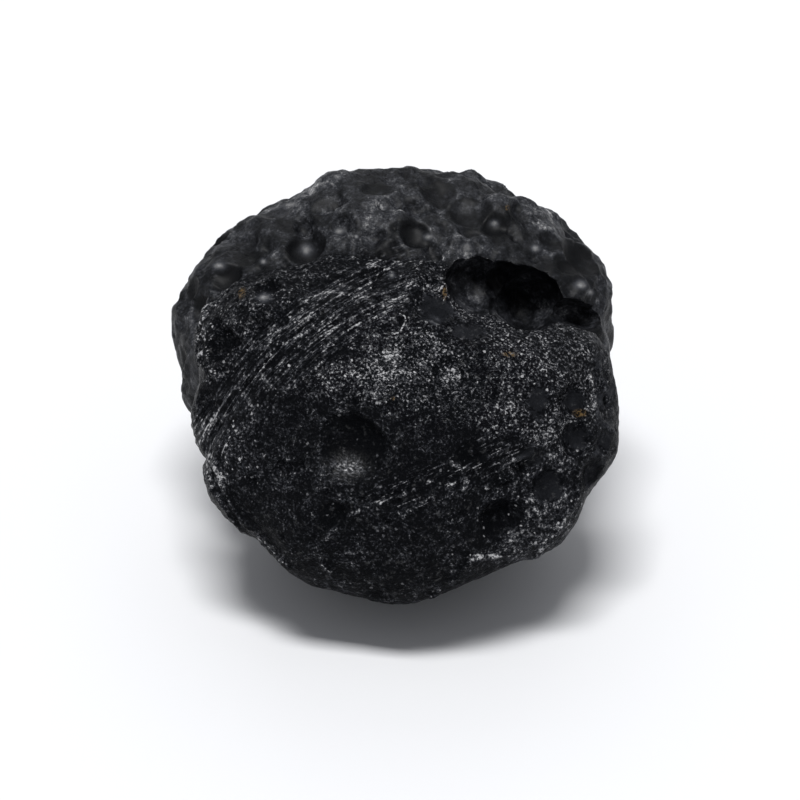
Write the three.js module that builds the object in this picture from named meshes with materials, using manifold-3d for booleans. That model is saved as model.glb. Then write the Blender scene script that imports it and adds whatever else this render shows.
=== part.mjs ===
// A tektite: a splash of natural black glass, one solid piece, lying on the flat it was worn to.
//
// The form is worked out in the face frame: X to the right, Y up the face and Z straight out of
// the face, with the origin in the middle of the stone. Each vertex of a sphere is pushed out
// along its own ray until it meets the skin, and then down into any pit that it lies in. The
// solid is tipped back by LEAN, its hollow is cut, and its underside is cut flat.
// Lengths are in millimetres and angles in degrees.
import * as THREE from "three";
import { mergeVertices } from "three/addons/utils/BufferGeometryUtils.js";
import Module from "manifold-3d";

// ---- Driving dimensions -------------------------------------------------------------------

const LEAN = 32; // how far the face's axis tips up from level
const MIDDLE = [0.42, -1.48, 16.2]; // the origin of the face frame, above the underside's middle
const GLASS = { color: 0x17181b, roughness: 0.42, metalness: 0 };

// Two lobes grown together. outline: radius from the axis every 15 degrees, anticlockwise from
// +X. ring: height of the widest ring on the axis. tilt: how far the ring drops for each
// millimetre up the face. front and back: how far the lobe stands out on each side of its ring.
const FRONT_LOBE = {
  outline: [
    17.5, 16.4, 11.8, 9.6, 10.4, 10.7, 10.4, 11.2, 11.9, 13.4, 16.0, 16.7,
    16.3, 17.6, 17.5, 17.1, 17.8, 17.6, 17.2, 16.8, 17.4, 18.0, 17.8, 18.7,
  ],
  ring: 3.4,
  tilt: 0.2,
  front: 9.8,
  back: 9,
};
const REAR_LOBE = {
  outline: [
    17.6, 18.8, 19.8, 19.4, 19.1, 18.1, 18.1, 18.8, 17.9, 19.2, 19.8, 18.9,
    17.9, 16.8, 15.8, 15.8, 15.9, 16.0, 16.0, 16.0, 16.0, 16.2, 16.4, 16.5,
  ],
  ring: -5,
  tilt: 0.12,
  front: 11.5,
  back: 13,
};
const LOBE_BLEND = 0.8; // how widely one lobe runs into the other

// The rounded brow across the face, where its upper slope turns down: its height on the axis,
// how far it falls for each millimetre to the right, its width, how high it stands and its reach.
const BROW = { at: -2.1, fall: 0.17, width: 3.4, height: 0.7, reach: 11 };

// Slow swells of the skin: [height, crests per millimetre along X, Y and Z, phase].
const SWELLS = [
  [0.22, 0.42, 0.2, -0.3, 0.4],
  [0.2, -0.25, 0.5, 0.28, 1.7],
  [0.16, 0.6, -0.45, 0.35, 3.1],
  [0.12, 0.3, 0.75, -0.7, 5.0],
];

// Lumps over the rear lobe, which fade out towards the front one: rows as for SWELLS.
const LUMPS = [
  [0.1, 1.1, 0.5, 0.3, 0.9],
  [0.1, -0.6, 1.1, -0.5, 2.2],
  [0.09, 0.7, -0.9, 0.8, 4.4],
  [0.08, -1.3, -0.4, 0.6, 5.3],
];

// The flow band over the upper left of the face: a step down between two arcs about one centre.
const FLOW_BAND = {
  centre: [10.7, -17.7],
  inner: 28.6,
  outer: 31.2,
  end: 4,
  depth: 0.35,
  edge: 0.5,
};

// Bubble pits that show from the front: [x, y, rim radius, depth].
const FACE_PITS = [
  [-3.6, -4.9, 2.85, 1.6], // the big one
  [4.0, 0.7, 1.5, 0.45], // ringed
  [-0.4, 2.3, 1.3, 0.3],
  [8.3, -10.8, 2.0, 1.1], // low on the right
  [14.1, -1.4, 1.7, 1.1], // down the right margin
  [11.1, -1.2, 1.4, 0.35],
  [14.3, -4.3, 1.6, 0.85],
  [12.0, -8.1, 1.5, 0.8],
  [15.6, -7.1, 1.4, 0.6],
  [16.6, -4.7, 1.0, 0.45],
  [17.0, -1.4, 1.0, 0.45],
  [5.7, -5.5, 1.2, 0.35],
  [-9.2, -6.8, 0.85, 0.4],
  [-7.9, -6.5, 0.7, 0.3],
  [-5.2, -10.3, 1.3, 0.4],
  [-14.9, -3.2, 1.0, 0.4],
  [8.0, -15.2, 1.9, 0.9], // under the lower right edge
  [-14.4, 3.3, 1.6, 1.2], // beside the left edge
  [2.9, 6.2, 1.9, 0.8], // beside the end of the flow band
  [-2.2, 9.1, 1.1, 0.8], // above the flow band
  [-0.7, 9.9, 1.0, 0.6],
  [2.9, 9.4, 1.3, 0.5],
  [-10.6, 7.9, 1.5, 0.9],
  [-14.0, 8.8, 1.4, 0.8],
  [-16.3, 6.2, 1.2, 0.8],
  [-17.0, 8.0, 1.2, 0.4],
  [-12.1, 10.4, 1.1, 0.5],
  [-7.5, 11.3, 1.9, 1.1],
  [-10.0, 14.6, 1.8, 0.6],
  [-4.5, 13.2, 1.0, 0.7],
  [-6.2, 14.0, 1.3, 0.5],
  [1.4, 12.4, 1.4, 0.8],
  [5.9, 12.8, 1.1, 0.6],
  [7.7, 13.2, 1.3, 0.7],
  [10.9, 13.2, 1.0, 0.5],
  [12.6, 11.8, 1.2, 0.5],
  [13.8, 9.8, 1.3, 0.5],
  [13.7, 7.9, 0.9, 0.5],
  [3.3, 15.9, 1.7, 0.55], // along the top
  [-1.6, 16.2, 1.5, 0.45],
];

// Bubble pits over the rest of the stone, set out on a spiral from pole to pole.
const BACK_PITS = {
  count: 90,
  smallest: 0.9,
  largest: 2.3,
  depth: 0.45, // of the rim radius
  front: 0.05, // none lies further to the front than this share of the way
  clear: 4, // none lies lower than this above the ground
};

// The hollow above the face: three bubbles and the slot that runs on from them, as ellipsoids in
// the face frame: [x, y, z, half sizes along X, Y and Z, turn about Z].
const HOLLOW = [
  [6.6, 8.2, 5.5, 3.0, 2.8, 5.5, -10],
  [8.6, 8.6, 4.0, 2.0, 1.6, 5.0, -20],
  [10.4, 6.9, 4.0, 3.2, 3.1, 7.0, -12],
  [15.0, 5.7, 2.5, 3.2, 1.4, 4.5, -8],
];

const PIT_BOWL = 2.4; // the power that shapes a pit's floor: 2 is round, and more is flatter
const STEEP = 0.5; // a pit deeper than this share of its radius has a sharp rim
const SOFT = 1.7; // the power that rounds the rim of any other pit

const OUTER = 26; // no part of the stone is further than this from its middle
const SKIN_CUTS = 20; // cuts along each edge of the icosahedron that the skin starts from
const HOLLOW_CUTS = 4;
const CROWDING = 0.12; // how strongly the vertices crowd towards the face
const RIM_PULL = 0.6; // vertices nearer than this to a pit's rim or middle are drawn in to it
const HALVINGS = 30; // steps in the search for a point of the skin
const GOLDEN_ANGLE = Math.PI * (3 - Math.sqrt(5));

// ---- The skin -----------------------------------------------------------------------------

// The outline's radius at an angle, through a closed Catmull-Rom curve.
function outlineRadius(outline, angle) {
  const n = outline.length;
  const at = ((angle / (2 * Math.PI)) * n + n) % n;
  const i = Math.floor(at);
  const t = at - i;
  const [a, b, c, d] = [-1, 0, 1, 2].map((k) => outline[(i + k + n) % n]);
  const bend = 2 * a - 5 * b + 4 * c - d;
  return b + 0.5 * t * (c - a + t * (bend + t * (3 * b - a - 3 * c + d)));
}

// How far out a lobe reaches from the middle of the stone in a direction, a unit vector.
function lobeReach(lobe, { x, y, z }) {
  const lateral = Math.hypot(x, y) / outlineRadius(lobe.outline, Math.atan2(y, x));
  const along = z + lobe.tilt * y;
  const reach = (height) => {
    const a = lateral ** 2 + (along / height) ** 2;
    const b = (along * lobe.ring) / height ** 2;
    return (b + Math.sqrt(b * b + a * (1 - (lobe.ring / height) ** 2))) / a;
  };
  const front = reach(lobe.front);
  return along * front > lobe.ring ? front : reach(lobe.back);
}

function smoothMax(a, b, width) {
  const mix = Math.max(width - Math.abs(a - b), 0) / width;
  return Math.max(a, b) + (mix * mix * width) / 4;
}

// How far a set of waves lifts the skin at a point.
function waves(p, rows) {
  let lift = 0;
  for (const [height, x, y, z, phase] of rows) {
    lift += height * Math.sin(x * p.x + y * p.y + z * p.z + phase);
  }
  return lift;
}

// A smooth step from 0 below -width to 1 above width.
function ease(value, width) {
  return THREE.MathUtils.smoothstep(value, -width, width);
}

// How deep the flow band lies below the skin around it.
function bandDepth({ x, y, z }) {
  const { centre, inner, outer, end, depth, edge } = FLOW_BAND;
  if (z < 0) return 0;
  const away = Math.hypot(x - centre[0], y - centre[1]);
  return depth * ease(away - inner, edge) * ease(outer - away, edge) * ease(end - x, 2 * edge);
}

// How far the brow stands out above the skin around it.
function browHeight({ x, y, z }) {
  if (z < 0) return 0;
  const off = (y - BROW.at + BROW.fall * x) / BROW.width;
  return BROW.height * Math.exp(-(off ** 2) - (x / BROW.reach) ** 4);
}

// The point of the unpitted skin in a direction.
function skin(direction) {
  const out = direction.clone().normalize();
  const [front, rear] = [lobeReach(FRONT_LOBE, out), lobeReach(REAR_LOBE, out)];
  const p = out.clone().multiplyScalar(smoothMax(front, rear, LOBE_BLEND));
  const lumps = ease(rear - front, LOBE_BLEND) * waves(p, LUMPS);
  return p.addScaledVector(out, waves(p, SWELLS) + lumps + browHeight(p) - bandDepth(p));
}

// The point of the skin that is seen at x, y when the face is looked at straight on.
function facePoint(x, y) {
  const p = new THREE.Vector3(x, y, FRONT_LOBE.ring - FRONT_LOBE.tilt * y);
  const isWithin = () => p.length() < skin(p).length();
  let [inside, outside] = [isWithin() ? p.z : -OUTER / 4, OUTER];
  for (let i = 0; i < HALVINGS; i++) {
    p.z = (inside + outside) / 2;
    if (isWithin()) inside = p.z;
    else outside = p.z;
  }
  return p;
}

// The way out of the skin, as if it had no relief finer than reach.
function skinNormal(at, reach) {
  const side = new THREE.Vector3(1, 0, 0).cross(at).normalize();
  const rise = at.clone().cross(side).normalize();
  const step = (axis, length) => skin(at.clone().addScaledVector(axis, length));
  const across = (axis) => step(axis, reach).sub(step(axis, -reach));
  return across(side).cross(across(rise)).normalize();
}

// ---- The pits -----------------------------------------------------------------------------

function pit(at, radius, depth) {
  return { at, normal: skinNormal(at, radius), radius, depth };
}

function heightAboveGround(p) {
  const lean = THREE.MathUtils.degToRad(LEAN);
  return MIDDLE[2] + p.y * Math.cos(lean) + p.z * Math.sin(lean);
}

function backPits() {
  const { count, smallest, largest, depth, front, clear } = BACK_PITS;
  const pits = [];
  for (let i = 0; i < count; i++) {
    const z = 1 - (2 * i + 1) / count;
    const flat = Math.sqrt(1 - z * z);
    const [x, y] = [flat * Math.cos(i * GOLDEN_ANGLE), flat * Math.sin(i * GOLDEN_ANGLE)];
    const at = skin(new THREE.Vector3(x, y, z));
    const share = (i * GOLDEN_ANGLE) % 1;
    const radius = smallest + (largest - smallest) * share * share;
    if (z < front && heightAboveGround(at) > clear) pits.push(pit(at, radius, radius * depth));
  }
  return pits;
}

const PITS = [
  ...FACE_PITS.map(([x, y, radius, depth]) => pit(facePoint(x, y), radius, depth)),
  ...backPits(),
];

// Draws a point near the rim or the middle of a pit in towards it, so that few faces show it.
function drawToPits(p) {
  for (const { at, radius } of PITS) {
    const away = p.distanceTo(at);
    if (away > radius + RIM_PULL) continue;
    const goal = away < radius / 2 ? 0 : radius;
    const off = away - goal;
    const pulled = Math.abs(off) < RIM_PULL ? (off * Math.abs(off)) / RIM_PULL : off;
    return skin(p.clone().sub(at).multiplyScalar((goal + pulled) / away).add(at));
  }
  return p;
}

// Sinks a point into the deepest pit that it lies in.
function sink(p) {
  let [deepest, along] = [0, null];
  for (const { at, normal, radius, depth } of PITS) {
    const bowl = Math.max(1 - (p.distanceTo(at) / radius) ** PIT_BOWL, 0);
    const here = depth * (depth > STEEP * radius ? bowl : bowl ** SOFT);
    if (here > deepest) [deepest, along] = [here, normal];
  }
  return along ? p.clone().addScaledVector(along, -deepest) : p;
}

// ---- The solid ----------------------------------------------------------------------------

// A geometry with each vertex shared by the faces that meet in it.
function welded(geometry) {
  geometry.deleteAttribute("normal");
  geometry.deleteAttribute("uv");
  return mergeVertices(geometry);
}

function stoneGeometry() {
  const stone = welded(new THREE.IcosahedronGeometry(1, SKIN_CUTS));
  const place = stone.getAttribute("position");
  for (let i = 0; i < place.count; i++) {
    const direction = new THREE.Vector3().fromBufferAttribute(place, i);
    direction.z += CROWDING;
    const p = sink(drawToPits(skin(direction)));
    place.setXYZ(i, p.x, p.y, p.z);
  }
  return stone;
}

function hollowGeometry([x, y, z, halfX, halfY, halfZ, turn]) {
  const blob = new THREE.IcosahedronGeometry(1, HOLLOW_CUTS);
  blob.scale(halfX, halfY, halfZ);
  blob.rotateZ(THREE.MathUtils.degToRad(turn));
  blob.translate(x, y, z);
  return blob;
}

function groundBlock() {
  const block = new THREE.BoxGeometry(2 * OUTER, 2 * OUTER, OUTER);
  block.translate(0, 0, -OUTER / 2);
  return block;
}

// Moves a geometry from the face frame to the world.
function setDown(geometry) {
  return geometry.rotateX(THREE.MathUtils.degToRad(90 - LEAN)).translate(...MIDDLE);
}

const wasm = await Module();
wasm.setup();

function solid(geometry) {
  const closed = welded(geometry);
  const vertProperties = closed.getAttribute("position").array;
  const triVerts = new Uint32Array(closed.getIndex().array);
  return new wasm.Manifold(new wasm.Mesh({ numProp: 3, vertProperties, triVerts }));
}

function fromSolid(shape) {
  const { vertProperties, triVerts } = shape.getMesh();
  const geometry = new THREE.BufferGeometry();
  geometry.setAttribute("position", new THREE.BufferAttribute(vertProperties, 3));
  geometry.setIndex(new THREE.BufferAttribute(triVerts, 1));
  geometry.computeVertexNormals();
  return geometry;
}

function tektiteGeometry() {
  let shape = solid(setDown(stoneGeometry())).subtract(solid(groundBlock()));
  for (const blob of HOLLOW) shape = shape.subtract(solid(setDown(hollowGeometry(blob))));
  return fromSolid(shape);
}

const stone = new THREE.Group();
const tektite = new THREE.Mesh(tektiteGeometry(), new THREE.MeshStandardMaterial(GLASS));
tektite.name = "tektite";
stone.add(tektite);

export default stone;
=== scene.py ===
"""A tektite, a splash of natural black glass, on a plain pale studio floor."""

import math

import bmesh
import bpy
import numpy as np
from bpy.props import FloatProperty, FloatVectorProperty, PointerProperty
from mathutils import Matrix, Vector, kdtree, noise


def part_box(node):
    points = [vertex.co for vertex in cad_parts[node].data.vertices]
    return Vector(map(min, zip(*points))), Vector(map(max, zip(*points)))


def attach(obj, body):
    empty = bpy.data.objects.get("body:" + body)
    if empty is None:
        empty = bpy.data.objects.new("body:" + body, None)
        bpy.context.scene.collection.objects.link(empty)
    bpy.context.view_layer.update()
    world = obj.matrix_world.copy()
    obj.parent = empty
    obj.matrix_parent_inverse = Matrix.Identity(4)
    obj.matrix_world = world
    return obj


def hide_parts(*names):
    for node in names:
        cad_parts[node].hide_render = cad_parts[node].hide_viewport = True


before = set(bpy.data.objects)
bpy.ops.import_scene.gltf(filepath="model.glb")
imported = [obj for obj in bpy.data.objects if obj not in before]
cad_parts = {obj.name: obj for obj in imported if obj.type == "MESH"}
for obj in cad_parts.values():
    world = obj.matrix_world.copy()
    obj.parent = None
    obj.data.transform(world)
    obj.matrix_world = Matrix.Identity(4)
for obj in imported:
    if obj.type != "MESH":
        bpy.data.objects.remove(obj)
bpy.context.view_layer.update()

bl_info = {
    "name": "Tektite",
    "version": (1, 0, 0),
    "blender": (4, 5, 0),
    "location": "3D View > Sidebar > Tektite",
    "description": "Models a pitted black tektite and the stage that it lies on",
    "category": "Add Mesh",
}

# ---- The form -------------------------------------------------------------------------------
# The stone is modelled in its face frame, in millimetres: X to the right, Y up the face and Z
# straight out of it, from the middle of the stone. FACE_TO_WORLD then sets it down in metres.

MM = 0.001
LEAN = math.radians(32)  # how far the face's axis tips up from level
MIDDLE = Vector((0.42, -1.48, 16.2))  # the origin of the face frame
FACE_TO_WORLD = (
    Matrix.Scale(MM, 4) @ Matrix.Translation(MIDDLE) @ Matrix.Rotation(math.pi / 2 - LEAN, 4, "X")
)

# Two lobes grown together. outline: radius from the axis every 15 degrees, anticlockwise from
# +X. ring: height of the widest ring on the axis. tilt: how far the ring drops for each
# millimetre up the face. front and back: how far the lobe stands out on each side of its ring.
FRONT_LOBE = {
    "outline": (
        17.5, 16.4, 11.8, 9.6, 10.4, 10.7, 10.4, 11.2, 11.9, 13.4, 16.0, 16.7,
        16.3, 17.6, 17.5, 17.1, 17.8, 17.6, 17.2, 16.8, 17.4, 18.0, 17.8, 18.7,
    ),
    "ring": 3.4,
    "tilt": 0.2,
    "front": 9.8,
    "back": 9,
}
REAR_LOBE = {
    "outline": (
        17.6, 18.8, 19.8, 19.4, 19.1, 18.1, 18.1, 18.8, 17.9, 19.2, 19.8, 18.9,
        17.9, 16.8, 15.8, 15.8, 15.9, 16.0, 16.0, 16.0, 16.0, 16.2, 16.4, 16.5,
    ),
    "ring": -5,
    "tilt": 0.12,
    "front": 11.5,
    "back": 13,
}
LOBE_BLEND = 0.8  # how widely one lobe runs into the other

# The rounded brow across the face, where its upper slope turns down: its height on the axis,
# how far it falls for each millimetre to the right, its width, how high it stands and its reach.
BROW = {"at": -2.1, "fall": 0.17, "width": 3.4, "height": 0.7, "reach": 11}

# Slow swells of the skin: height, crests per millimetre along X, Y and Z, phase.
SWELLS = (
    (0.22, (0.42, 0.2, -0.3), 0.4),
    (0.2, (-0.25, 0.5, 0.28), 1.7),
    (0.16, (0.6, -0.45, 0.35), 3.1),
    (0.12, (0.3, 0.75, -0.7), 5.0),
)

# Lumps over the rear lobe, which fade out towards the front one: rows as for SWELLS.
LUMPS = (
    (0.1, (1.1, 0.5, 0.3), 0.9),
    (0.1, (-0.6, 1.1, -0.5), 2.2),
    (0.09, (0.7, -0.9, 0.8), 4.4),
    (0.08, (-1.3, -0.4, 0.6), 5.3),
)

# Bubble pits that show from the front: x, y, rim radius, depth.
FACE_PITS = (
    (-3.6, -4.9, 2.85, 1.35),  # the big one
    (4.0, 0.7, 1.5, 0.45),  # ringed
    (-0.4, 2.3, 1.3, 0.3),
    (8.3, -10.8, 2.0, 1.1),  # low on the right
    (14.1, -1.4, 1.7, 1.1),  # down the right margin
    (11.1, -1.2, 1.4, 0.35),
    (14.3, -4.3, 1.6, 0.85),
    (12.0, -8.1, 1.5, 0.8),
    (15.6, -7.1, 1.4, 0.6),
    (16.6, -4.7, 1.0, 0.45),
    (17.0, -1.4, 1.0, 0.45),
    (5.7, -5.5, 1.2, 0.35),
    (-9.2, -6.8, 0.85, 0.4),
    (-7.9, -6.5, 0.7, 0.3),
    (-5.2, -10.3, 1.3, 0.4),
    (-14.9, -3.2, 1.0, 0.4),
    (8.0, -15.2, 1.9, 0.9),  # under the lower right edge
    (-14.4, 3.3, 1.6, 1.2),  # beside the left edge
    (2.9, 6.2, 1.9, 0.8),  # beside the end of the flow band
    (-2.2, 9.1, 1.1, 0.8),  # above the flow band
    (-0.7, 9.9, 1.0, 0.6),
    (2.9, 9.4, 1.3, 0.5),
    (-10.6, 7.9, 1.5, 0.9),
    (-14.0, 8.8, 1.4, 0.8),
    (-16.3, 6.2, 1.2, 0.8),
    (-17.0, 8.0, 1.2, 0.4),
    (-12.1, 10.4, 1.1, 0.5),
    (-7.5, 11.3, 1.9, 1.1),
    (-10.0, 14.6, 1.8, 0.6),
    (-4.5, 13.2, 1.0, 0.7),
    (-6.2, 14.0, 1.3, 0.5),
    (1.4, 12.4, 1.4, 0.8),
    (5.9, 12.8, 1.1, 0.6),
    (7.7, 13.2, 1.3, 0.7),
    (10.9, 13.2, 1.0, 0.5),
    (12.6, 11.8, 1.2, 0.5),
    (13.8, 9.8, 1.3, 0.5),
    (13.7, 7.9, 0.9, 0.5),
    (3.3, 15.9, 1.7, 0.55),  # along the top
    (-1.6, 16.2, 1.5, 0.45),
)

# Bubble pits over the rest of the stone, set out on a spiral from pole to pole.
BACK_PITS = {
    "count": 90,
    "smallest": 0.9,
    "largest": 2.3,
    "depth": 0.45,  # of the rim radius
    "front": 0.05,  # none lies further to the front than this share of the way
    "clear": 4,  # none lies lower than this above the ground
}

# The flow band over the upper left of the face: a step down between two arcs about one centre.
FLOW_BAND = {
    "centre": (10.7, -17.7), "inner": 28.6, "outer": 31.2, "end": 4, "depth": 0.35, "edge": 0.5,
}

# The big hollow at the upper right of the face, where the lobes meet, and the slot that runs on
# from it: ellipsoids by centre, half sizes and turn about Z.
HOLLOW = (
    ((6.6, 8.2, 5.5), (3.0, 2.8, 5.5), -10),
    ((8.6, 8.2, 4.0), (2.2, 2.2, 5.2), -14),
    ((10.4, 6.9, 4.0), (3.2, 3.1, 7.0), -12),
    ((15.0, 5.7, 2.5), (3.2, 1.4, 4.5), -8),
)

PIT_BOWL = 2.4  # the power that shapes a pit's floor: 2 is round, and more is flatter
STEEP = 0.45  # a pit deeper than this share of its radius has a sharp rim
SOFT = 1.7  # the power that rounds the rim of any other pit
RAGGED = 0.16  # how far a pit's rim wanders, as a share of its radius

OUTER = 26  # no part of the stone is further than this from its middle
HALVINGS = 30  # steps of the search for the skin behind a point of the face
INNER = -6.5  # where that search starts if the front lobe isn't there; one low pit stays at it
GOLDEN_ANGLE = math.pi * (3 - math.sqrt(5))
SKIN_CUTS = 123  # cuts along each edge of the cube that the skin starts from
CROWDING = 0.35  # how strongly the vertices crowd towards the face
HOLLOW_CUTS = 30  # the same for each bubble of the hollow
SEED_STEP = 17.3  # how far apart two seeds lie in the noise


def noise_at(points, size, seed=0):
    """Smooth noise from -1 to 1 at each point, with features of about the given size."""
    return np.array([noise.noise(p) for p in (points / size + seed * SEED_STEP).tolist()])


def unit(vectors):
    return vectors / np.linalg.norm(vectors, axis=-1, keepdims=True)


def smoothstep(low, high, value):
    t = np.clip((value - low) / (high - low), 0, 1)
    return t * t * (3 - 2 * t)


def outline_radius(outline, angle):
    """The outline's radius at each angle, through a closed Catmull-Rom curve."""
    ring = np.asarray(outline)
    at = angle / (2 * np.pi) * len(ring) % len(ring)
    i = np.floor(at).astype(int)
    t = at - i
    a, b, c, d = (ring[(i + k) % len(ring)] for k in (-1, 0, 1, 2))
    bend = 2 * a - 5 * b + 4 * c - d
    return b + 0.5 * t * (c - a + t * (bend + t * (3 * b - a - 3 * c + d)))


def lobe_reach(lobe, directions):
    """How far out a lobe reaches from the middle of the stone in each direction."""
    x, y, z = directions.T
    lateral = np.hypot(x, y) / outline_radius(lobe["outline"], np.arctan2(y, x))
    along = z + lobe["tilt"] * y

    def reach(height):
        a = lateral**2 + (along / height) ** 2
        b = along * lobe["ring"] / height**2
        return (b + np.sqrt(b * b + a * (1 - (lobe["ring"] / height) ** 2))) / a

    front = reach(lobe["front"])
    return np.where(along * front > lobe["ring"], front, reach(lobe["back"]))


def smooth_max(a, b, width):
    mix = np.maximum(width - np.abs(a - b), 0) / width
    return np.maximum(a, b) + mix * mix * width / 4


def waves(points, rows):
    return sum(height * np.sin(points @ np.array(crests) + phase) for height, crests, phase in rows)


def rear_share(directions):
    """How far each direction belongs to the rear lobe: 0 on the front lobe, 1 on the rear."""
    out = unit(directions)
    lead = lobe_reach(REAR_LOBE, out) - lobe_reach(FRONT_LOBE, out)
    return smoothstep(-LOBE_BLEND, LOBE_BLEND, lead)


def band_depth(points):
    """How deep the flow band lies below the skin around it."""
    x, y, z = points.T
    edge = FLOW_BAND["edge"]
    away = np.hypot(x - FLOW_BAND["centre"][0], y - FLOW_BAND["centre"][1])
    inside = smoothstep(-edge, edge, away - FLOW_BAND["inner"])
    outside = smoothstep(-edge, edge, FLOW_BAND["outer"] - away)
    before_end = smoothstep(-2 * edge, 2 * edge, FLOW_BAND["end"] - x)
    return (z > 0) * FLOW_BAND["depth"] * inside * outside * before_end


def brow_height(points):
    """How far the brow stands out above the skin around it."""
    x, y, z = points.T
    off = (y - BROW["at"] + BROW["fall"] * x) / BROW["width"]
    return (z > 0) * BROW["height"] * np.exp(-(off**2) - (x / BROW["reach"]) ** 4)


def skin(directions):
    """The point of the unpitted skin in each direction."""
    out = unit(directions)
    reach = smooth_max(lobe_reach(FRONT_LOBE, out), lobe_reach(REAR_LOBE, out), LOBE_BLEND)
    points = out * reach[:, None]
    rise = waves(points, SWELLS) + rear_share(out) * waves(points, LUMPS)
    rise += brow_height(points) - band_depth(points)
    return points + out * rise[:, None]


def face_points(x, y):
    """The points of the skin that are seen at x, y when the face is looked at straight on."""
    def is_within(z):
        points = np.stack([x, y, z], axis=1)
        return np.linalg.norm(points, axis=1) < np.linalg.norm(skin(points), axis=1)

    ring = FRONT_LOBE["ring"] - FRONT_LOBE["tilt"] * y
    inside = np.where(is_within(ring), ring, INNER)
    outside = np.full(len(x), float(OUTER))
    for _ in range(HALVINGS):
        middle = (inside + outside) / 2
        within = is_within(middle)
        inside = np.where(within, middle, inside)
        outside = np.where(within, outside, middle)
    return np.stack([x, y, inside], axis=1)


def skin_normals(at, reach):
    """The way out of the skin, as if it had no relief finer than reach."""
    side = unit(np.cross((1.0, 0.0, 0.0), at))
    rise = unit(np.cross(at, side))

    def across(axis):
        return skin(at + axis * reach[:, None]) - skin(at - axis * reach[:, None])

    return unit(np.cross(across(side), across(rise)))


def bubble_pits():
    """The middle, normal, rim radius and depth of every large pit."""
    x, y, radius, depth = np.array(FACE_PITS).T
    at = face_points(x, y)
    i = np.arange(BACK_PITS["count"])
    z = 1 - (2 * i + 1) / len(i)
    flat = np.sqrt(1 - z * z)
    spiral = np.stack([flat * np.cos(i * GOLDEN_ANGLE), flat * np.sin(i * GOLDEN_ANGLE), z], axis=1)
    back_at = skin(spiral)
    size = i * GOLDEN_ANGLE % 1
    back_radius = BACK_PITS["smallest"] + (BACK_PITS["largest"] - BACK_PITS["smallest"]) * size**2
    height = MIDDLE.z + back_at[:, 1] * math.cos(LEAN) + back_at[:, 2] * math.sin(LEAN)
    kept = (z < BACK_PITS["front"]) & (height > BACK_PITS["clear"])
    at = np.concatenate([at, back_at[kept]])
    radius = np.concatenate([radius, back_radius[kept]])
    depth = np.concatenate([depth, back_radius[kept] * BACK_PITS["depth"]])
    return at, skin_normals(at, radius), radius, depth


def sink_pits(points):
    """Sinks the points into the deepest pit that each lies in."""
    deepest = np.zeros(len(points))
    way = np.zeros_like(points)
    ragged = 1 + RAGGED * noise_at(points, 1.5, seed=1)
    for at, normal, radius, depth in zip(*bubble_pits()):
        away = np.linalg.norm(points - at, axis=1) * ragged / radius
        softness = 1 if depth > STEEP * radius else SOFT
        here = depth * np.maximum(1 - away**PIT_BOWL, 0) ** softness
        deeper = here > deepest
        deepest[deeper] = here[deeper]
        way[deeper] = normal
    return points - way * deepest[:, None]


# ---- Mesh helpers ---------------------------------------------------------------------------


def read_points(mesh):
    points = np.empty(len(mesh.vertices) * 3)
    mesh.vertices.foreach_get("co", points)
    return points.reshape(-1, 3)


def write_points(mesh, points):
    mesh.vertices.foreach_set("co", points.ravel())
    mesh.update()


def read_normals(mesh):
    normals = np.empty(len(mesh.vertices) * 3)
    mesh.vertices.foreach_get("normal", normals)
    return normals.reshape(-1, 3)


def ball_mesh(name, cuts):
    """A ball of radius 1 with an even grid of square faces."""
    mesh = bpy.data.meshes.new(name)
    ball = bmesh.new()
    bmesh.ops.create_cube(ball, size=2)
    bmesh.ops.subdivide_edges(ball, edges=ball.edges[:], cuts=cuts, use_grid_fill=True)
    ball.to_mesh(mesh)
    ball.free()
    write_points(mesh, unit(np.tan(read_points(mesh) * math.pi / 4)))
    return mesh


def add_object(name, mesh):
    piece = bpy.data.objects.new(name, mesh)
    bpy.context.scene.collection.objects.link(piece)
    return piece


def apply_modifiers(piece):
    """Gives the piece the mesh that its modifiers make, and takes them off."""
    made = piece.evaluated_get(bpy.context.evaluated_depsgraph_get())
    finished = bpy.data.meshes.new_from_object(made)
    piece.modifiers.clear()
    old, piece.data = piece.data, finished
    bpy.data.meshes.remove(old)


# ---- Fine relief ----------------------------------------------------------------------------

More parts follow.
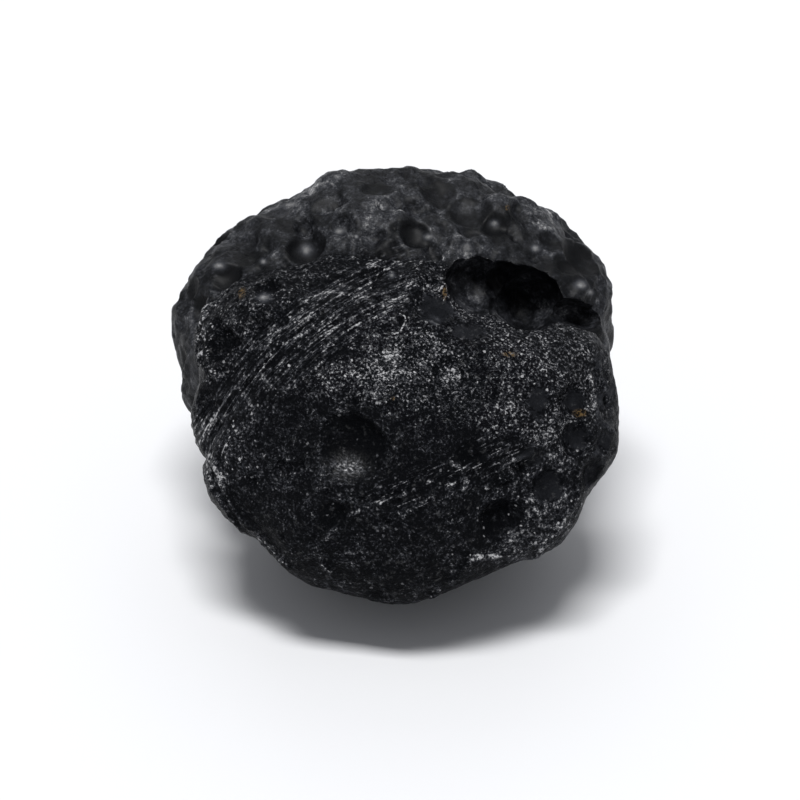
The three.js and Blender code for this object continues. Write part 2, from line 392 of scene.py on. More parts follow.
# Fine ridges across the face and down its margins: the points that each runs through, its half
# width, its height, and the depth of the groove on its left, as the route runs.
FACE_RIDGES = (
    (((-6.3, -12.7), (-5.0, -11.4), (-3.8, -10.3), (-1.8, -9.5), (-1.0, -9.4)), 0.20, 0.20, 0.15),
    (((-1.0, -9.4), (0.6, -8.7), (2.1, -7.9), (3.3, -7.1)), 0.20, 0.26, 0.15),
    (((4.4, -6.2), (5.0, -6.7), (6.1, -6.4), (7.3, -5.7), (8.9, -4.9), (9.7, -4.4)), 0.18, 0.24, 0.1),
    (((8.2, -7.7), (8.0, -7.0), (8.4, -6.4), (9.3, -6.0), (10.9, -5.2), (11.7, -4.6)), 0.17, 0.21, 0.1),
    (((3.9, -8.1), (4.9, -7.5), (5.7, -7.2)), 0.17, 0.20, 0.05),
    (((5.1, -8.3), (6.1, -7.7)), 0.17, 0.20, 0.05),
    (((6.5, -8.5), (7.4, -7.8)), 0.17, 0.20, 0.05),
    (((0.6, -10.3), (1.7, -9.5), (2.5, -8.9)), 0.17, 0.19, 0.05),
    (((3.9, -11.0), (4.5, -10.9), (5.4, -10.6)), 0.16, 0.18, 0.05),
    (((0.2, -10.2), (0.7, -11.2), (1.0, -12.2)), 0.16, 0.16, 0),
    (((-6.2, -14.1), (-5.1, -15.2), (-4.3, -16.2)), 0.20, 0.22, 0.05),
    (
        ((2.7, -16.8), (4.0, -15.9), (4.8, -14.9), (5.6, -14.2), (6.5, -13.7), (8.9, -13.6)),
        0.24, 0.31, 0,
    ),
    (((10.1, -8.5), (10.3, -9.8), (10.6, -11.2)), 0.21, 0.26, 0),
    (((10.7, -8.8), (11.0, -10.1), (11.5, -11.2)), 0.19, 0.22, 0),
    (((11.7, -13.0), (11.2, -13.8), (10.4, -14.6)), 0.24, 0.26, 0),
    (((14.4, -6.7), (14.5, -8.1), (14.1, -9.3), (13.5, -10.5), (12.7, -11.7)), 0.22, 0.31, 0),
    (((15.4, 0.6), (15.7, -0.8), (15.8, -2.0), (16.5, -3.0), (17.3, -3.7)), 0.16, 0.31, 0.1),
    (((16.3, 1.2), (16.6, 0.0), (16.9, -1.2), (17.5, -2.7)), 0.13, 0.26, 0.1),
    (
        ((-14.7, -6.4), (-14.2, -8.1), (-13.2, -10.0), (-11.8, -11.7), (-10.3, -13.2), (-8.7, -14.7)),
        0.20, 0.28, 0.15,
    ),
    (((-15.4, -7.1), (-14.7, -8.7), (-13.7, -10.3), (-12.3, -12.1), (-11.0, -13.5)), 0.18, 0.26, 0.1),
    (((-15.2, 7.1), (-15.7, 5.3), (-16.2, 3.6), (-15.8, 1.6), (-14.6, 0.8)), 0.32, 0.46, 0),
    (((0.3, 5.9), (0.6, 5.0), (0.2, 4.1), (-0.4, 3.8)), 0.22, 0.28, 0),
    (((0.6, 8.6), (1.2, 7.9), (2.6, 7.5), (3.8, 8.1)), 0.18, 0.22, 0),
    (((1.2, 5.9), (2.4, 5.8), (3.4, 5.0)), 0.16, 0.20, 0.1),
    (((1.6, 4.9), (2.8, 5.0), (3.9, 4.3)), 0.16, 0.18, 0.05),
)

# Dimples are small ragged pits at chance places, most of them on the rear lobe.
DIMPLES = 700
SMALLEST_DIMPLE, LARGEST_DIMPLE = 0.28, 1.4  # radii
DIMPLE_DEPTH = 0.55  # of the radius

CALM_PIT = 1.2  # pits with at least this rim radius stay clear of dimples and lumps
BOWL_PIT = 1.1  # pits with at least this rim radius are noted on the mesh for the glass

# Rings that stand up inside pits: x, y, the ring's radius, its half width and its height.
PIT_RINGS = (
    (4.0, 0.7, 0.0, 0.75, 0.3),
    (4.0, 0.7, 1.1, 0.22, -0.16),
    (8.7, -10.2, 0.62, 0.13, -0.14),
    (-3.6, -4.9, 0.9, 0.1, 0.03),
    (-3.6, -4.9, 1.35, 0.1, 0.03),
    (-3.6, -4.9, 1.8, 0.1, 0.04),
    (-3.6, -4.9, 2.2, 0.1, 0.04),
)


def flow_lines(points):
    """Fine lines along the flow band, and the sharp groove at its heart."""
    x, y, z = points.T
    centre_x, centre_y = FLOW_BAND["centre"]
    away = np.hypot(x - centre_x, y - centre_y)
    along = np.arctan2(y - centre_y, x - centre_x) * FLOW_BAND["inner"]
    stretched = np.stack([away, along * 0.06, z * 0.06], axis=1)
    wander = 0.2 * noise_at(stretched, 1.3, seed=2)
    stretched[:, 0] += wander
    lines = noise_at(stretched, 0.26, seed=3) + 0.7 * noise_at(stretched, 0.55, seed=5)
    broken = smoothstep(-0.4, 0.1, noise_at(points, 1.6, seed=6))
    reach = smoothstep(24.2, 26.5, away) * smoothstep(32.0, 30.8, away) * smoothstep(2.5, 0.2, x)
    off = away + wander * 0.4 - FLOW_BAND["inner"] - 0.3
    main = np.exp(-((off / 0.2) ** 2)) - 0.6 * np.exp(-(((off + 0.35) / 0.16) ** 2))
    main *= smoothstep(-0.5, -2.5, x)
    return (z > 0) * (reach * broken * lines * 0.12 - 0.3 * main)


def ridge(points, route, width, height, groove):
    """A fine broken ridge along a route across the face, with a groove on the route's left.

    Gives how far it raises each point, and how near each point is to its crest, from 0 to 1.
    """
    x, y, z = points.T
    nearest = np.full(len(points), np.inf)
    side = np.zeros(len(points))
    for (x0, y0), (x1, y1) in zip(route, route[1:]):
        run = np.hypot(x1 - x0, y1 - y0)
        t = np.clip(((x - x0) * (x1 - x0) + (y - y0) * (y1 - y0)) / run**2, 0, 1)
        gap_x, gap_y = x - x0 - t * (x1 - x0), y - y0 - t * (y1 - y0)
        gap = np.hypot(gap_x, gap_y)
        closer = gap < nearest
        nearest[closer] = gap[closer]
        side[closer] = ((gap_y * (x1 - x0) - gap_x * (y1 - y0)) / run)[closer]
    near = (z > 0) & (nearest < 6 * width)
    rise = np.zeros(len(points))
    wander = side[near] + 0.08 * noise_at(points[near], 0.7, seed=12)
    within = np.exp(-(((nearest[near] - np.abs(side[near])) / width) ** 2))
    broken = 0.2 + 0.8 * smoothstep(-0.3, 0.2, noise_at(points[near], 0.8, seed=13))
    line = np.zeros(len(points))
    line[near] = within * broken * np.exp(-((wander / width) ** 2))
    hollow = np.exp(-(((wander - 2.6 * width) / (1.7 * width)) ** 2))
    rise[near] = height * line[near] - groove * within * hollow
    return rise, line


def ridge_share(points):
    return np.max([ridge(points, *line)[1] for line in FACE_RIDGES], axis=0)


def ring(points, x, y, radius, width, height):
    away = np.hypot(points[:, 0] - x, points[:, 1] - y)
    return (points[:, 2] > 0) * height * np.exp(-(((away - radius) / width) ** 2))


def bowl_share(points, smallest):
    """How far inside a pit of at least the smallest radius each point lies: 1 in its middle."""
    share = np.zeros(len(points))
    for at, _, radius, _ in zip(*bubble_pits()):
        if radius >= smallest:
            share = np.maximum(share, 1 - np.sum((points - at) ** 2, axis=1) / radius**2)
    return share


def roughness_share(points):
    """How strongly each part of the skin is eaten into by small pits: most at the back."""
    x, y, z = points.T
    upper_left = (z > 0) * smoothstep(-7.0, -11.0, x) * smoothstep(1.0, 5.0, y)
    return 0.06 + 0.94 * np.maximum(rear_share(points), 0.6 * upper_left)


def slope_share(points):
    """How far each point lies on the pebbled upper slope of the front lobe: 0 off it, 1 on it."""
    x, y, _ = points.T
    return smoothstep(-3.4, -1.8, y + 0.2 * x) * (1 - rear_share(points))


def dimples(points, seed):
    """The height of the dimples at each point, which is 0 or less."""
    chance = np.random.default_rng(seed)
    tree = kdtree.KDTree(len(points))
    for i, point in enumerate(points.tolist()):
        tree.insert(point, i)
    tree.balance()
    odds = roughness_share(points) * (bowl_share(points, CALM_PIT) < 0.1)
    ragged = 1 + 0.45 * noise_at(points, 0.8, seed=14)
    sunk = np.zeros(len(points))
    middles = chance.choice(len(points), DIMPLES, p=odds / odds.sum())
    radii = SMALLEST_DIMPLE + (LARGEST_DIMPLE - SMALLEST_DIMPLE) * chance.random(DIMPLES) ** 3
    for middle, radius in zip(middles, radii):
        near = tree.find_range(points[middle], radius * 1.5)
        found = np.array([i for _, i, _ in near])
        away = np.array([gap for _, _, gap in near]) * ragged[found] / radius
        bowl = -DIMPLE_DEPTH * np.maximum(1 - away**2, 0) ** 1.6
        sunk[found] = np.minimum(sunk[found], bowl * radius)
    return sunk


def relief(points):
    """How far each point of the skin stands out by its fine relief."""
    calm = 1 - 0.85 * smoothstep(0.05, 0.4, bowl_share(points, CALM_PIT))
    rough = roughness_share(points)
    lumps = 0.2 * noise_at(points, 2.1, seed=7) + 0.13 * noise_at(points, 1.0, seed=8)
    pebbles = 0.09 * slope_share(points) * noise_at(points, 0.6, seed=16)
    grain = 0.05 * noise_at(points, 0.36, seed=9) + pebbles
    height = lumps * (0.5 + 1.5 * rough) * calm + grain * (0.3 + 0.7 * calm)
    height += flow_lines(points) * calm
    for line in FACE_RIDGES:
        height += ridge(points, *line)[0]
    for circle in PIT_RINGS:
        height += ring(points, *circle)
    height += dimples(points, seed=11)
    return height


# ---- The stone ------------------------------------------------------------------------------


def hollow_blob(centre, half, turn):
    """One bubble of the hollow, with an uneven wall."""
    mesh = ball_mesh("hollow", HOLLOW_CUTS)
    points = read_points(mesh)
    uneven = 1 + 0.07 * noise_at(points, 0.55, seed=4) + 0.03 * noise_at(points, 0.18, seed=15)
    points *= uneven[:, None]
    place = Matrix.Translation(centre) @ Matrix.Rotation(math.radians(turn), 4, "Z")
    place = np.array(place @ Matrix.Diagonal((*half, 1)))
    write_points(mesh, points @ place[:3, :3].T + place[:3, 3])
    return add_object("hollow", mesh)


def glass_mesh():
    """The skin of the stone in the face frame, with its pits and fine relief."""
    mesh = ball_mesh("tektite_glass", SKIN_CUTS)
    directions = read_points(mesh)
    directions[:, 2] += CROWDING
    write_points(mesh, sink_pits(skin(directions)))
    points, normals = read_points(mesh), read_normals(mesh)
    write_points(mesh, points + normals * relief(points)[:, None])
    return mesh


def carved_stone():
    """The whole stone in the face frame, with its hollow cut."""
    piece = add_object("tektite_glass", glass_mesh())
    cutters = [hollow_blob(*blob) for blob in HOLLOW]
    for cutter in cutters:
        cut = piece.modifiers.new("hollow", "BOOLEAN")
        cut.operation = "DIFFERENCE"
        cut.solver = "MANIFOLD"
        cut.object = cutter
    apply_modifiers(piece)
    for cutter in cutters:
        bpy.data.meshes.remove(cutter.data)
    return piece


def crest_share(mesh):
    """How sharply each vertex stands up from its neighbours: 0 on flat and hollow places."""
    points, normals = read_points(mesh), read_normals(mesh)
    ends = np.empty(len(mesh.edges) * 2, dtype=int)
    mesh.edges.foreach_get("vertices", ends)
    ends = np.concatenate([ends.reshape(-1, 2), ends.reshape(-1, 2)[:, ::-1]])
    steps = points[ends[:, 1]] - points[ends[:, 0]]
    count = np.bincount(ends[:, 0], minlength=len(points))
    fall = -np.sum(steps * normals[ends[:, 0]], axis=1) / np.linalg.norm(steps, axis=1)
    return smoothstep(0.02, 0.2, np.bincount(ends[:, 0], fall, len(points)) / count)


def note_on_mesh(mesh, name, values):
    mesh.attributes.new(name, "FLOAT", "POINT").data.foreach_set("value", values)


def set_down(piece):
    """Places the finished stone in the world, clipped to the box of its solid.

    That cuts its base flat, and trims its widest places very slightly.
    """
    mesh = piece.data
    points = read_points(mesh)
    note_on_mesh(mesh, "bowl", bowl_share(points, BOWL_PIT))
    note_on_mesh(mesh, "rear", rear_share(points))
    note_on_mesh(mesh, "ridge", ridge_share(points))
    place = np.array(FACE_TO_WORLD)
    low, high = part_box("tektite")
    write_points(mesh, np.clip(points @ place[:3, :3].T + place[:3, 3], low, high))
    note_on_mesh(mesh, "crest", crest_share(mesh))
    for face in mesh.polygons:
        face.use_smooth = True


# ---- Materials ------------------------------------------------------------------------------


class Wire:
    """A socket of a material's node tree, so that shader maths is written as an expression."""

    def __init__(self, shader, socket):
        self.shader = shader
        self.socket = socket

    def math(self, operation, first, second=0.5):
        inputs = {0: first, 1: second}
        return self.shader.add("ShaderNodeMath", {"operation": operation}, inputs)[0]

    def __add__(self, other):
        return self.math("ADD", self, other)

    __radd__ = __add__

    def __sub__(self, other):
        return self.math("SUBTRACT", self, other)

    def __rsub__(self, other):
        return self.math("SUBTRACT", other, self)

    def __mul__(self, other):
        return self.math("MULTIPLY", self, other)

    __rmul__ = __mul__

    def __pow__(self, other):
        return self.math("POWER", self, other)

    def exponent(self):
        return self.math("EXPONENT", self)

    def above(self, low, high):
        """A smooth step from 0 at low to 1 at high."""
        settings = {"interpolation_type": "SMOOTHSTEP"}
        inputs = {"Value": self, "From Min": low, "From Max": high}
        return self.shader.add("ShaderNodeMapRange", settings, inputs)[0]


class Shader:
    """A new material's node tree."""

    def __init__(self, name):
        self.material = bpy.data.materials.new(name)
        self.material.use_nodes = True
        self.tree = self.material.node_tree
        self.tree.nodes.clear()

    def add(self, kind, settings=None, inputs=None):
        """Adds a node, sets it up, and gives its outputs as a list of wires."""
        node = self.tree.nodes.new(kind)
        for name, value in (settings or {}).items():
            setattr(node, name, value)
        for name, value in (inputs or {}).items():
            if isinstance(value, Wire):
                self.tree.links.new(value.socket, node.inputs[name])
            else:
                node.inputs[name].default_value = value
        return [Wire(self, socket) for socket in node.outputs]

    def blend(self, factor, first, second):
        """One colour mixed over another."""
        inputs = {0: factor, 6: first, 7: second}
        return self.add("ShaderNodeMix", {"data_type": "RGBA"}, inputs)[2]

    def noise(self, place, size, detail=2.0, roughness=0.5):
        """Soft noise from 0 to 1, with features of about the given size."""
        inputs = {"Vector": place, "Scale": 1 / size, "Detail": detail, "Roughness": roughness}
        return self.add("ShaderNodeTexNoise", None, inputs)[0]

    def flecks(self, place, size):
        """Scattered flecks of many sizes, up to about the given size: 1 on them and 0 elsewhere."""
        wander = self.add("ShaderNodeTexNoise", None, {"Vector": place, "Scale": 3 / size})[1]
        inputs = {0: wander, 1: (size / 2,) * 3, 2: place}
        place = self.add("ShaderNodeVectorMath", {"operation": "MULTIPLY_ADD"}, inputs)[0]
        away, tint = self.add("ShaderNodeTexVoronoi", None, {"Vector": place, "Scale": 1 / size})[:2]
        chance = self.parts(tint)[0]
        return (0.32 * chance * chance * chance - away).above(0.0, 0.1)

    def parts(self, vector):
        return self.add("ShaderNodeSeparateXYZ", None, {0: vector})

    def vector(self, x, y, z):
        return self.add("ShaderNodeCombineXYZ", None, {0: x, 1: y, 2: z})[0]

    def polar(self, place, centre):
        """The distance from an axis along Z through the centre, and the angle round it."""
        x, y, _ = self.parts(place)
        x, y = x - centre[0], y - centre[1]
        return (x * x + y * y) ** 0.5, y.math("ARCTAN2", y, x)

    def spots(self, x, y, patches):
        """Soft round spots: 1 in their middles, fading to 0."""
        found = []
        for middle_x, middle_y, wide, high in patches:
            off_x, off_y = (x - middle_x) * (1 / wide), (y - middle_y) * (1 / high)
            found.append((-1 * (off_x * off_x + off_y * off_y)).exponent())
        return self.most(*found)

    def noted(self, name):
        """A value that the mesh carries at each vertex."""
        return self.add("ShaderNodeAttribute", {"attribute_name": name})[2]

    def most(self, first, *others):
        for other in others:
            first = first.math("MAXIMUM", first, other)
        return first

    def bump(self, height, distance):
        inputs = {"Strength": 0.9, "Distance": distance, "Height": height}
        return self.add("ShaderNodeBump", None, inputs)[0]

    def surface(self, inputs):
        return self.add("ShaderNodeBsdfPrincipled", None, inputs)[0]

    def finish(self, surface):
        self.add("ShaderNodeOutputMaterial", None, {"Surface": surface})
        return self.material


# Patches of the stone as seen from the front, in its face frame: x, y, half width, half height.
PATCHES = {
    # A painted highlight over the upper slope, loose flecks and fine scratches.
    "worn": ((-1.6, 0.9, 4.6, 2.0), (-0.4, 2.3, 1.4, 1.3), (4.0, 0.7, 1.0, 0.9)),
    "flecked": (
        (-13.6, -5.2, 1.5, 3.6), (9.2, 1.9, 2.4, 1.6), (10.2, -12.4, 2.6, 1.8), (6.6, -13.6, 2.2, 0.7),
    ),
    "scratched": ((0.6, -8.6, 3.4, 1.3), (7.6, -5.6, 4.0, 1.7), (3.0, -7.2, 2.5, 1.2)),
    # Clean and smooth.
    "facets": (
        (3.0, 5.9, 1.7, 1.5), (11.1, -1.4, 1.0, 1.5), (14.4, -4.2, 1.5, 1.2), (12.1, -8.1, 1.4, 1.5),
        (15.6, -7.0, 1.0, 1.6), (16.9, -4.6, 0.8, 1.2), (14.2, -1.3, 1.2, 1.1), (5.8, 4.3, 1.6, 0.9),
        (10.6, -5.6, 1.3, 0.9),
    ),
    # Painted glints, at the foot of the big pit and of the low one.
    "glint": ((-3.9, -6.5, 1.5, 0.9),),
    "low_glint": ((8.8, -12.1, 1.1, 0.7),),
    "rusty": (
        (8.9, 2.4, 0.8, 0.3), (14.6, -2.3, 0.8, 0.4), (3.75, 7.4, 0.25, 0.7), (-12.6, 7.4, 0.4, 0.6),
        (-0.4, -1.1, 0.2, 0.2), (9.0, 14.6, 0.3, 0.3),
    ),
    # Painted light: lit patches on the rear lobe and in the hollow, and soft painted glints, mostly on
    # the rear lobe.
    "hazy": (
        (-1.2, 14.8, 5.4, 1.4), (-6.0, 17.1, 1.3, 0.6), (5.9, 6.4, 1.5, 1.3), (14.8, 5.7, 1.7, 1.1),
        (-2.5, 13.0, 1.0, 2.0), (12.5, 13.5, 2.0, 1.2), (9.0, 5.6, 2.2, 0.9), (4.5, 14.2, 2.2, 0.9),
        (-9.5, 14.2, 1.6, 1.0),
    ),
    "bright": (
        (-7.5, 11.1, 0.75, 0.65), (-4.8, 12.6, 0.65, 0.5), (-3.4, 12.1, 0.3, 0.3),
        (-11.0, 10.1, 0.4, 0.4), (-10.8, 7.0, 0.8, 0.5), (-14.7, 9.8, 0.8, 0.5),
        (5.6, 11.2, 0.8, 0.65), (2.5, 12.1, 0.6, 0.4), (11.3, 11.2, 0.6, 0.5), (15.0, 8.2, 0.8, 0.55),
        (15.8, 7.6, 0.5, 0.4), (-0.5, 8.8, 0.35, 0.35), (-8.9, 15.0, 1.0, 0.4), (7.9, 13.3, 0.5, 0.4),
    ),
    # Where crests get a painted highlight.
    "rim": (
        (3.9, 8.2, 0.9, 2.6), (6.3, 10.0, 2.4, 0.5), (6.4, 5.4, 1.6, 0.6), (0.2, 4.9, 0.6, 1.4),
        (-13.9, -5.2, 1.0, 2.2), (-5.2, -15.2, 1.2, 1.2), (-15.6, 4.4, 0.8, 3.0),
    ),
}
BIG_PIT, LOW_PIT = FACE_PITS[0], FACE_PITS[3]
COARSE_BUMP, FINE_BUMP = 0.00025, 0.00008  # heights in metres
RARITY = 5.1  # grain covers about exp(-RARITY) of clean glass
SCRATCH_SLANT = 0.45  # how far the scratches climb for each millimetre to the right


class Stone:
    """What the glass reads at each point: its place, the mesh's notes, noises and patches."""

    def __init__(self, shader):
        self.shader = shader
        place = shader.add("ShaderNodeTexCoord")[3]
        turn = (math.pi / 2 - LEAN, 0, 0)
        settings = {"vector_type": "TEXTURE"}
        inputs = {"Vector": place, "Location": MIDDLE * MM, "Rotation": turn, "Scale": (MM, MM, MM)}
        self.face = shader.add("ShaderNodeMapping", settings, inputs)[0]
        self.x, self.y, self.z = shader.parts(self.face)
        for name in ("crest", "bowl", "rear", "ridge"):
            setattr(self, name, shader.noted(name))
        self.front = 1 - self.rear
        self.in_bowl = self.bowl.above(0.0, 0.3)
        self.ahead = self.z.above(-8.0, -5.0)  # keeps the marks of the face off the back
        self.margin = self.x.above(13.5, 15.5) * self.front
        self.add_noises()
        self.add_patches()
        self.add_flow_band()

    def add_noises(self):
        shader, face = self.shader, self.face
        self.clusters = shader.noise(face, 1.2, 4, 0.6)
        self.drifts = shader.noise(face, 3.5, 2, 0.5)
        self.grain = shader.noise(face, 0.21, 4, 0.7)
        self.pebbles = shader.noise(face, 0.5, 3, 0.7)
        self.streaks = self.pit_streaks(BIG_PIT, 0.16)
        self.low_streaks = self.pit_streaks(LOW_PIT, 0.14)
        along, across = self.x + SCRATCH_SLANT * self.y, self.y - SCRATCH_SLANT * self.x
        drawn_out = shader.vector(0.1 * along, across, 0.1 * self.z)
        self.scratches = shader.noise(drawn_out, 0.22, 2, 0.6)

    def pit_streaks(self, pit, size):
        """Noise drawn out in rings round the middle of a pit."""
        away, along = self.shader.polar(self.face, pit)
        return self.shader.noise(self.shader.vector(away, along, 0), size, 3, 0.6)

    def add_patches(self):
        """The upper slope, and each of the patches under its own name."""
        x, y, uneven = self.x, self.y, self.clusters - 0.5
        self.slope = (y + 0.2 * x + 1.6 * uneven).above(-3.4, -1.8) * self.front
        for name, listed in PATCHES.items():
            setattr(self, name, self.ahead * self.shader.spots(x, y, listed))
        smooth = self.shader.most(self.facets, 0.6 * x.above(14.4, 16.6)) + 1.5 * uneven
        self.smooth = self.front * smooth.above(0.35, 0.8)

    def add_flow_band(self):
        """Where the band lies, and the lines and dashes that run along it."""
        shader, x, z = self.shader, self.x, self.z
        away, along = shader.polar(self.face, FLOW_BAND["centre"])
        run = along * FLOW_BAND["inner"]
        self.lines = shader.noise(shader.vector(away, run * 0.05, z * 0.05), 0.2, 4, 0.65)
        self.dashes = shader.noise(shader.vector(away, run * 0.35, z * 0.35), 0.22, 3, 0.6)
        inside = (away + 2.8 * x.above(-13.5, -6.5)).above(27.2, 29.2)
        self.in_band = self.ahead * inside * (1 - away.above(30.4, 31.6)) * (1 - x.above(0.2, 2.0))


def paleness(stone):
    """How freely pale grain gathers on each part of the stone, with painted light on the slope and rear
    top.
    """
    x, y, most = stone.x, stone.y, stone.shader.most
    left_flank = (1 - x.above(-13.0, -6.0)) * y.above(-10.0, -5.0) * (1 - y.above(-4.0, 0.0))
    band = 0.52 * stone.in_band * x.above(-14.5, -7.0)
    # Painted highlight: the upper slope, which faces the overhead light, is paler.
    slope = stone.slope * most(0.1 + 0.25 * x.above(-6.0, 3.0), stone.worn, band)
    # Painted light: the rear lobe grows paler towards its top.
    rear = stone.rear * (0.48 + 0.3 * y.above(8.0, 14.0))
    return most(slope, rear, 0.58 * left_flank, 0.45 * x.above(4.0, 11.0), 0.6 * stone.flecked)


def grain_amount(stone, pale):
    """How much pale grain, painted highlight and painted shade lie on each point, as a natural
    logarithm.
    """
    x, y, rear, front, slope = stone.x, stone.y, stone.rear, stone.front, stone.slope
    uneven = stone.clusters - 0.5

    # Broad drifts, a painted highlight along crests, and painted shade in the seam at the left.
    amount = 2.3 * pale + 6.0 * uneven + (3.5 + 3.5 * rear) * (stone.drifts - 0.5) - RARITY
    amount += (1.0 - 0.8 * rear) * stone.crest
    amount -= 3.0 * rear * front * (1 - x.above(-15.0, -10.0))

    # Grain of two sizes, and the lines of the flow band.
    fine = (17.0 - 11.0 * rear + 6.0 * slope) * (1 - 0.4 * stone.in_band)
    amount += fine * (1 - 0.5 * stone.in_bowl * (1 - slope)) * (stone.grain - 0.5)
    amount += (5.0 + 3.0 * front * x.above(4.0, 9.0)) * (stone.pebbles - 0.5)
    amount += stone.in_band * (14.0 * (stone.lines - 0.5) + 9.0 * (stone.dashes - 0.5))

    # In pits: painted shade, with painted highlights in their middles on the slope and rear lobe, and
    # the big pit's painted glint.
    amount += front * stone.in_bowl * (slope * (2.4 * stone.bowl - 1.3) - 0.8 * (1 - slope))
    painted_pit_light_and_shade = rear * (4.0 * stone.bowl.above(0.84, 1.0) - 1.6 * stone.in_bowl)
    amount = amount + painted_pit_light_and_shade + stone.glint * (13.0 * (stone.streaks - 0.5) + 3.0)

    # Clean facets, then what shows on top of them.
    facets = 3.0 * stone.margin * uneven - 3.7 + 2.0 * uneven
    amount += stone.smooth * (facets - amount)
    # Painted highlight along the fine ridges.
    amount += 2.0 * stone.ridge * stone.shader.most(stone.clusters.above(0.38, 0.52), stone.margin)
    # A streaked painted glint at the foot of the low pit.
    amount += stone.low_glint * (9.0 * (stone.low_streaks - 0.5) + 2.2)
    amount += stone.scratched.above(0.25, 0.6) * (3.2 * stone.scratches.above(0.57, 0.66) - 0.5)
    # Painted light on the rear lobe and in the hollow, strongest on the hollow's lower wall.
    amount += (1.1 + 0.7 * (1 - y.above(7.5, 9.0)) * (1 - x.above(6.5, 8.5))) * stone.hazy
    # Painted highlight on the crests within the rim patches.
    amount += 2.8 * stone.rim.above(0.2, 0.6) * stone.crest.above(0.4, 1.0)
    # Soft painted glints, mostly on the rear lobe.
    return stone.shader.most(amount, 4.5 * stone.bright - 5.3 + 2.0 * (stone.pebbles - 0.5))


def glass_colour(stone, colours):
    """Black glass under pale grain and painted light and shade, with loose flecks and a few rust
    specks.
    """
    shader, pale = stone.shader, paleness(stone)
    gathered = (stone.clusters + 0.25 * stone.flecked).above(0.35, 0.55)
    flecks = shader.flecks(stone.face, 0.5) * gathered * stone.front * (1 - stone.smooth)
    # The grain amount holds painted highlights and painted shade as well as grain.
    grain = grain_amount(stone, pale).exponent()
    # Flecks grow brighter with the paleness, painted light included, and on fine ridges as a painted
    # highlight.
    dust_and_painted_light = shader.most(grain, flecks * (0.25 + 1.5 * pale + 0.3 * stone.ridge))
    rust = stone.grain.above(0.49, 0.56) * stone.rusty.above(0.3, 0.9)
    pile = shader.blend(dust_and_painted_light.above(0.03, 0.3), (*colours.haze, 1), (*colours.dust_and_painted_light, 1))
    colour = shader.blend(dust_and_painted_light, (*colours.glass, 1), pile)
    return shader.blend(rust, colour, (*colours.rust, 1))


def black_glass(colours):
    """Black natural glass, etched to a satin sheen, with sparkling grain, painted highlights and shade,
    and a few rust specks.
    """
    shader = Shader("black_glass")
    stone = Stone(shader)
    height = stone.grain + 0.8 * stone.pebbles + 0.5 * stone.in_band * stone.lines
    common = {
        "Base Color": glass_colour(stone, colours),
        "Roughness": 0.26 + 0.16 * stone.clusters,
        "IOR": 1.5,
    }
    dull = {
        "Specular IOR Level": 0.022,
        "Coat Weight": 0.27 * stone.rear,
        "Coat Roughness": 0.5,
        "Normal": shader.bump(height, COARSE_BUMP),
    }
    glossy = {"Specular IOR Level": 0.5, "Normal": shader.bump(height, FINE_BUMP)}
    glint = stone.glint * (0.2 + 0.8 * stone.streaks.above(0.42, 0.6))
    gloss = stone.front * shader.most(glint, stone.pebbles.above(0.56, 0.68) * 0.5)
    inputs = {0: gloss, 1: shader.surface({**common, **dull}), 2: shader.surface({**common, **glossy})}
    return shader.finish(shader.add("ShaderNodeMixShader", None, inputs)[0])


def plain(name, colour, roughness):
    shader = Shader(name)
    return shader.finish(shader.surface({"Base Color": (*colour, 1), "Roughness": roughness}))


# ---- What a user may set --------------------------------------------------------------------


class TektiteColours(bpy.types.PropertyGroup):
    glass: FloatVectorProperty(
        name="Glass", description="Colour of the clean glass", subtype="COLOR",
        default=(0.0013, 0.0016, 0.0022), min=0, max=1,
    )
    haze: FloatVectorProperty(
        name="Haze", description="Colour of the grain where it is thin", subtype="COLOR",
        default=(0.42, 0.44, 0.51), min=0, max=1,
    )
    # Also the colour of the painted highlights where they are thick.
    dust_and_painted_light: FloatVectorProperty(
        name="Dust", description="Colour of the grain where it is thick", subtype="COLOR",
        default=(0.5, 0.5, 0.51), min=0, max=1,
    )
    rust: FloatVectorProperty(
        name="Rust", description="Colour of the few rusty specks", subtype="COLOR",
        default=(0.12, 0.078, 0.034), min=0, max=1,
    )


class StudioSettings(bpy.types.PropertyGroup):
    floor: FloatVectorProperty(
        name="Floor", description="Colour of the floor", subtype="COLOR",
        default=(0.835, 0.84, 0.855), min=0, max=1,
    )
    overhead: FloatProperty(
        name="Overhead light", description="Power of the softbox above the stone",
        default=36.8, min=0, unit="POWER",
    )
    back: FloatProperty(
        name="Back light", description="Power of the softbox behind the stone",
        default=0.6, min=0, unit="POWER",
    )
    surround: FloatProperty(
        name="Surround", description="Brightness of the white room", default=0.29, min=0,
    )
    distance: FloatProperty(
        name="Camera distance", description="From the camera to the stone",
        default=0.37, min=0.1, unit="LENGTH",
    )
    view_angle: FloatProperty(
        name="View angle", description="Angle across the picture",
        default=math.radians(10.14), min=0.02, max=2, subtype="ANGLE",
    )


# ---- Operators ------------------------------------------------------------------------------


class AddTektite(bpy.types.Operator):
    """Model the stone in place of its plain solid"""

    bl_idname = "tektite.add_stone"
    bl_label = "Add the tektite"

    def execute(self, context):
        piece = carved_stone()
        set_down(piece)
        piece.data.materials.clear()
        piece.data.materials.append(black_glass(context.scene.tektite_colours))
        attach(piece, "root")
        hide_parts("tektite")
        return {"FINISHED"}


def aim(thing, place, target):
    thing.location = place
    thing.rotation_euler = (Vector(target) - Vector(place)).to_track_quat("-Z", "Y").to_euler()
    bpy.context.scene.collection.objects.link(thing)


def softbox(name, place, target, size, power):
    light = bpy.data.lights.new(name, "AREA")
    light.shape = "RECTANGLE"
    light.size, light.size_y = size
    light.energy = power
    aim(bpy.data.objects.new(name, light), place, target)


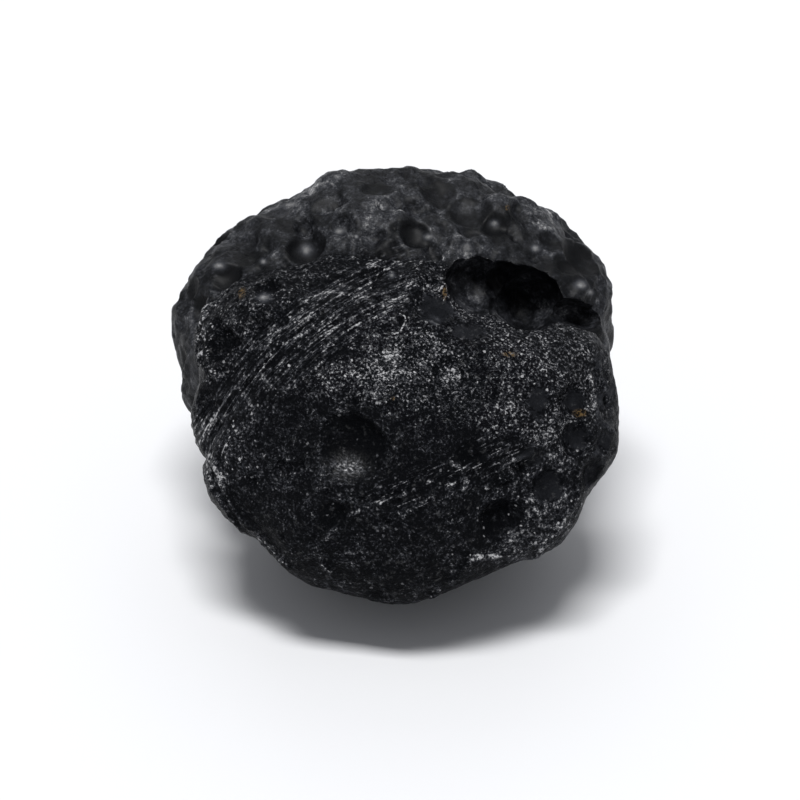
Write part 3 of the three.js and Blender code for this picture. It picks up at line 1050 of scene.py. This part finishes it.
# The studio, in metres. Softboxes: place, then width and depth.
OVERHEAD_AT, OVERHEAD_SIZE = (-0.1, -0.5, 1.95), (0.85, 0.42)
BACK_AT, BACK_SIZE = (0, 0.45, 0.4), (0.5, 0.5)
ROOM_WHITE = (0.97, 0.99, 1.04, 1)
FLOOR_WIDTH = 3.0
FLOOR_ROUGHNESS = 0.75
AIM_RIGHT, AIM_UP = 0.00016, -0.00123  # from the middle of the stone, across the picture
CLIP_START = 0.01


class AddStudio(bpy.types.Operator):
    """Add the floor, the lights and the camera"""

    bl_idname = "tektite.add_studio"
    bl_label = "Add the studio"

    def execute(self, context):
        studio = context.scene.tektite_studio
        mesh = bpy.data.meshes.new("floor")
        sheet = bmesh.new()
        bmesh.ops.create_grid(sheet, x_segments=1, y_segments=1, size=FLOOR_WIDTH / 2)
        sheet.to_mesh(mesh)
        sheet.free()
        mesh.materials.append(plain("pale_floor", studio.floor, FLOOR_ROUGHNESS))
        add_object("floor", mesh)

        world = bpy.data.worlds.new("white_room")
        world.use_nodes = True
        background = world.node_tree.nodes["Background"]
        background.inputs["Color"].default_value = ROOM_WHITE
        background.inputs["Strength"].default_value = studio.surround
        context.scene.world = world

        middle = MIDDLE * MM
        softbox("overhead", OVERHEAD_AT, middle, OVERHEAD_SIZE, studio.overhead)
        softbox("back", BACK_AT, middle, BACK_SIZE, studio.back)

        camera = bpy.data.cameras.new("camera")
        camera.angle = studio.view_angle
        camera.clip_start = CLIP_START
        towards = Vector((0, -math.cos(LEAN), math.sin(LEAN)))
        up = Vector((0, math.sin(LEAN), math.cos(LEAN)))
        target = middle + Vector((AIM_RIGHT, 0, 0)) + up * AIM_UP
        eye = bpy.data.objects.new("camera", camera)
        aim(eye, target + towards * studio.distance, target)
        context.scene.camera = eye
        context.scene.view_settings.view_transform = "Standard"
        return {"FINISHED"}


class TektitePanel(bpy.types.Panel):
    """Lists the steps and what can be set"""

    bl_label = "Tektite"
    bl_idname = "VIEW3D_PT_tektite"
    bl_space_type = "VIEW_3D"
    bl_region_type = "UI"
    bl_category = "Tektite"

    def draw(self, context):
        for step in (AddTektite, AddStudio):
            self.layout.operator(step.bl_idname)
        for group in (context.scene.tektite_colours, context.scene.tektite_studio):
            for name in group.__annotations__:
                self.layout.prop(group, name)


CLASSES = (TektiteColours, StudioSettings, AddTektite, AddStudio, TektitePanel)


def register():
    for cls in CLASSES:
        bpy.utils.register_class(cls)
    bpy.types.Scene.tektite_colours = PointerProperty(type=TektiteColours)
    bpy.types.Scene.tektite_studio = PointerProperty(type=StudioSettings)


def unregister():
    del bpy.types.Scene.tektite_studio
    del bpy.types.Scene.tektite_colours
    for cls in reversed(CLASSES):
        bpy.utils.unregister_class(cls)


def main():
    register()
    bpy.ops.tektite.add_stone()
    bpy.ops.tektite.add_studio()
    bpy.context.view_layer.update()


if __name__ == "__main__":
    main()
